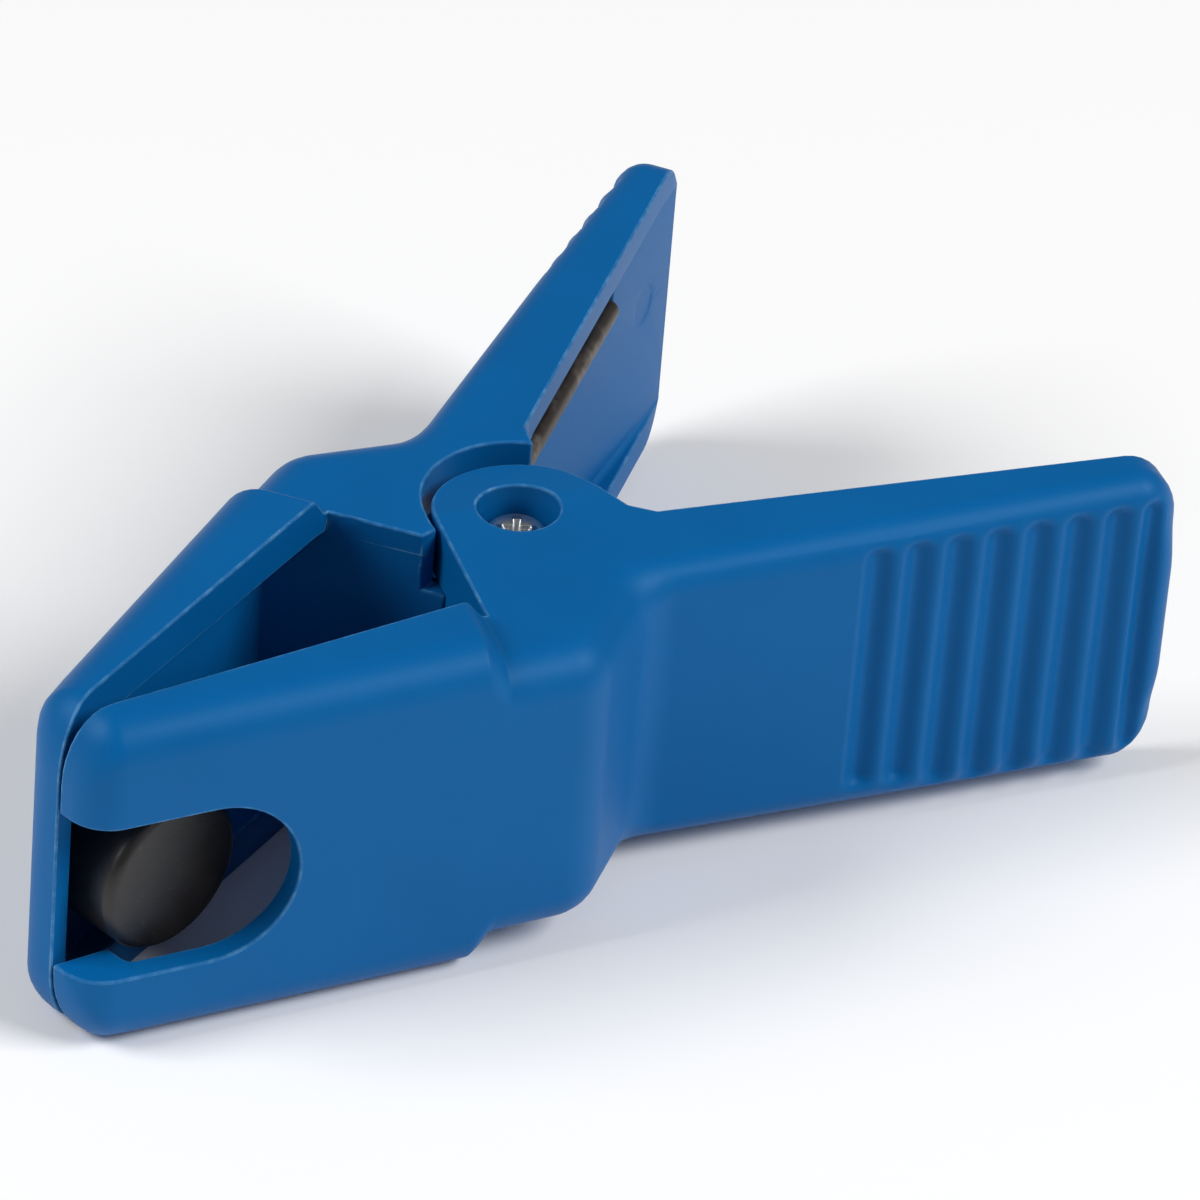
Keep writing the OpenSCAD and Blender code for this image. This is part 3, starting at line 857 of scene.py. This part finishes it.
def screw():
    """Pan head screw with a tapered cross recess."""
    profile = [(0, HEAD_TOP), (1.4, 13.48), (2.1, 13.42), (2.5, 13.28), (2.78, 13.02), (2.94, 12.62),
               (3.0, 12.1), (3.0, 11.28), (2.93, HEAD_SEAT), (1.5, HEAD_SEAT),
               (1.5, SCREW_TIP + 0.3), (1.2, SCREW_TIP), (0, SCREW_TIP)]
    bm = turned(profile, 64)
    depth, top = 1.3, 0.6
    for turn in (45, 135):
        blade = bmesh.new()
        bmesh.ops.create_cube(blade, size=1)
        bmesh.ops.scale(blade, verts=blade.verts, vec=(3.3, 0.78, depth + top))
        low = [v for v in blade.verts if v.co.z < 0]
        bmesh.ops.scale(blade, verts=low, vec=(0.45, 0.62, 1))
        bmesh.ops.rotate(blade, verts=blade.verts, cent=(0, 0, 0),
                         matrix=Matrix.Rotation(math.radians(turn), 3, "Z"))
        bmesh.ops.translate(blade, verts=blade.verts, vec=(0, 0, HEAD_TOP + (top - depth) / 2))
        bm = cut(bm, blade)
    recess = [e for e in sharp(bm, 30) if all(
        v.co.z > 11.5 and v.co.xy.length < 2.2 for v in e.verts)]
    ease(bm, recess, 0.07, 2, clamp=False)
    return even_shading(piece("cross_head_screw", bm, ZINC, "front", "pivot_screw"))


def nut():
    """Hexagon nut with chamfered corners."""
    top = -HEAD_SEAT - 0.15
    bm = bmesh.new()
    bmesh.ops.create_circle(bm, cap_ends=True, segments=6, radius=NUT_ACROSS_FLATS / math.sqrt(3))
    raised = bmesh.ops.extrude_face_region(bm, geom=bm.faces[:])["geom"]
    bmesh.ops.translate(bm, verts=[g for g in raised if isinstance(g, bmesh.types.BMVert)],
                        vec=(0, 0, NUT_HEIGHT))
    bmesh.ops.recalc_face_normals(bm, faces=bm.faces)
    bmesh.ops.rotate(bm, verts=bm.verts, cent=(0, 0, 0), matrix=Matrix.Rotation(math.pi / 6, 3, "Z"))
    lens = turned([(0, 0), (2.6, 0), (3.2, 0.35), (3.2, NUT_HEIGHT - 0.35), (2.6, NUT_HEIGHT),
                   (0, NUT_HEIGHT)], 48)
    bm = cut(bm, lens, "INTERSECT")
    bm = cut(bm, turned([(0, -1), (BORE_R, -1), (BORE_R, NUT_HEIGHT + 1), (0, NUT_HEIGHT + 1)], 40))
    bmesh.ops.translate(bm, verts=bm.verts, vec=(0, 0, top - NUT_HEIGHT))
    ease(bm, sharp(bm, 40), 0.05, 2, clamp=False)
    return even_shading(piece("hex_nut", bm, ZINC, "front", "pivot_nut"))


lever("window_lever", "front_lever", "front", True, WINDOW_NOSE_WALL, [window()])
lever("button_lever", "rear_lever", "rear", False, BUTTON_NOSE_WALL)
button_pad()
spring()
sleeve()
screw()
nut()


# ---------------------------------------------------------------- studio

def floor():
    bm = bmesh.new()
    bmesh.ops.create_grid(bm, x_segments=1, y_segments=1, size=1.5)
    bmesh.ops.translate(bm, verts=bm.verts, vec=(0, 0, BENCH * MM))
    mesh = bpy.data.meshes.new("floor")
    bm.to_mesh(mesh)
    bm.free()
    made = bpy.data.objects.new("floor", mesh)
    bpy.context.scene.collection.objects.link(made)
    f = Finish("white_paper")
    mesh.materials.append(f.set(Base_Color=(1.0, 1.0, 1.0, 1), Roughness=0.9))


AZIMUTH = math.radians(-47.278)
ELEVATION = math.radians(35.566)
ROLL = math.radians(-4.806)
DISTANCE = 872.45
FOCAL = 9282.9
OFFSET = (-92.275, 44.326)
FRAME_WIDTH = 1200
SENSOR = 36.0
SOFTBOX_ASIDE = 1.5
SOFTBOX_BACK = 0.5
SOFTBOX_HEIGHT = 1.1
SOFTBOX_SIZE = 1.0
LEFT_WATTS = 27.0
RIGHT_WATTS = 31.0
SURROUND = 0.16


def camera():
    """Camera on the window's side, looking down at the clamp."""
    a, e, r = AZIMUTH, ELEVATION, ROLL
    back = Vector((math.sin(a) * math.cos(e), -math.cos(a) * math.cos(e), math.sin(e)))
    level = Vector((math.cos(a), math.sin(a), 0))
    tall = back.cross(level)
    right = math.cos(r) * level - math.sin(r) * tall
    up = math.sin(r) * level + math.cos(r) * tall
    place = (back * DISTANCE - right * (OFFSET[0] * DISTANCE / FOCAL)
             + up * (OFFSET[1] * DISTANCE / FOCAL))
    data = bpy.data.cameras.new("camera")
    data.sensor_width = SENSOR
    data.lens = FOCAL / FRAME_WIDTH * SENSOR
    data.clip_start, data.clip_end = 0.01, 20
    made = bpy.data.objects.new("camera", data)
    turn = Matrix((right, up, back)).transposed()
    made.matrix_world = Matrix.Translation(TO_FRAME @ place) @ turn.to_4x4()
    bpy.context.scene.collection.objects.link(made)
    bpy.context.scene.camera = made
    return level, back


def softbox(name, place, watts):
    """A square area lamp that faces the clamp."""
    data = bpy.data.lights.new(name, "AREA")
    data.shape, data.energy = "RECTANGLE", watts
    data.size, data.size_y = SOFTBOX_SIZE, SOFTBOX_SIZE
    made = bpy.data.objects.new(name, data)
    made.location = place
    made.rotation_euler = Vector(place).to_track_quat("Z", "Y").to_euler()
    bpy.context.scene.collection.objects.link(made)


floor()
level, back = camera()
for name, aside, watts in (("left_softbox", -SOFTBOX_ASIDE, LEFT_WATTS),
                           ("right_softbox", SOFTBOX_ASIDE, RIGHT_WATTS)):
    softbox(name, aside * level + SOFTBOX_BACK * back + Vector((0, 0, SOFTBOX_HEIGHT)), watts)
world = bpy.data.worlds.new("studio")
world.use_nodes = True
world.node_tree.nodes["Background"].inputs["Color"].default_value = (1, 1, 1, 1)
world.node_tree.nodes["Background"].inputs["Strength"].default_value = SURROUND
bpy.context.scene.world = world
bpy.context.scene.view_settings.view_transform = "Standard"
